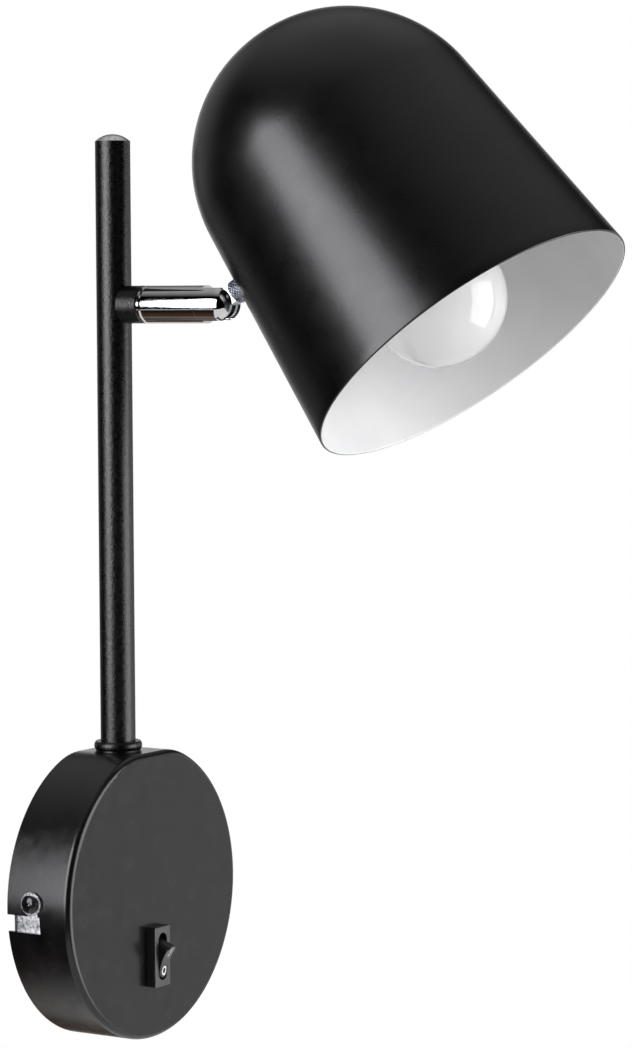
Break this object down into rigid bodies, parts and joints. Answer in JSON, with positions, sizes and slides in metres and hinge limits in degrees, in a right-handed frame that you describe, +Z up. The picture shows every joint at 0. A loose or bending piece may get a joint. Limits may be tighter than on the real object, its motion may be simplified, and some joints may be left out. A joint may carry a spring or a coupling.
{
  "type": "wall lamp",
  "caption": "Wall lamp with a round base, upright rod, swivelling and tilting knuckle, and a domed shade over a small screw-cap bulb.",
  "frame": {"origin": "centre of the base's back face, on the wall, midway between the two wall screw slots", "axes": "+Z up along the rod, +Y into the wall, +X to the right when facing the wall; the lamp stands out towards -Y"},
  "size_m": [0.1162, 0.1964, 0.3474],
  "materials": {
    "black_paint": "satin black powder coat",
    "zinc_steel": "zinc plated",
    "dark_steel": "blackened",
    "black_plastic": "satin",
    "white_plastic": "moulded",
    "brass": "plain",
    "chrome": "polished",
    "opal_glass": "opal, glossy",
    "flex_sheath": "sheathed flex",
    "brown_core": "insulated core",
    "blue_core": "insulated core"
  },
  "bodies": {
    "base": {"base_cover": "black_paint", "wall_bracket": "zinc_steel", "side_screws": "dark_steel", "side_washers": "dark_steel", "switch_housing": "black_plastic", "switch_terminals": "brass", "terminal_block": "white_plastic", "terminal_screws": "zinc_steel", "block_screw": "zinc_steel", "earth_washer": "zinc_steel", "earth_screw": "zinc_steel", "rod_tube": "black_paint", "rod_end_plug": "black_plastic", "rod_collar": "black_paint", "rod_nipple": "zinc_steel", "rod_lock_washer": "zinc_steel", "rod_nut": "zinc_steel", "arm_boss": "black_paint", "swivel_ring": "chrome", "swivel_pin": "brass", "swivel_washer": "zinc_steel", "swivel_nut": "brass", "rod_flex": "flex_sheath", "wire_switched": "brown_core", "wire_neutral": "blue_core", "wire_line": "brown_core"},
    "rocker": {"switch_rocker": "black_plastic"},
    "knuckle": {"knuckle_sleeve": "chrome", "knuckle_clevis": "chrome", "pivot_screw": "zinc_steel", "tilt_washers": "white_plastic"},
    "shade": {"shade_stub": "chrome", "shade": "black_paint", "holder_bracket": "zinc_steel", "stub_washer": "black_plastic", "stub_lock_washer": "zinc_steel", "stub_nut": "zinc_steel", "holder_cup": "white_plastic", "holder_skirt": "white_plastic", "holder_core": "white_plastic", "screw_shell": "brass", "centre_contact": "brass", "holder_nipple": "zinc_steel", "holder_nut": "zinc_steel", "bulb_glass": "opal_glass", "bulb_cap": "zinc_steel", "bulb_insulator": "black_plastic", "bulb_contact": "zinc_steel", "lamp_flex": "flex_sheath"}
  },
  "joints": [
    {"name": "knuckle_swivel", "type": "hinge", "parent": "base", "child": "knuckle", "pos_m": [0, -0.0361, 0.201], "axis": [0, -1, 0], "range_deg": [-150, 150]},
    {"name": "shade_tilt", "type": "hinge", "parent": "knuckle", "child": "shade", "pos_m": [0, -0.0544, 0.201], "axis": [1, 0, 0], "range_deg": [-30, 55]},
    {"name": "rocker_press", "type": "hinge", "parent": "base", "child": "rocker", "pos_m": [-0.0005, -0.0267, -0.0214], "axis": [1, 0, 0], "range_deg": [-44, 0]}
  ]
}
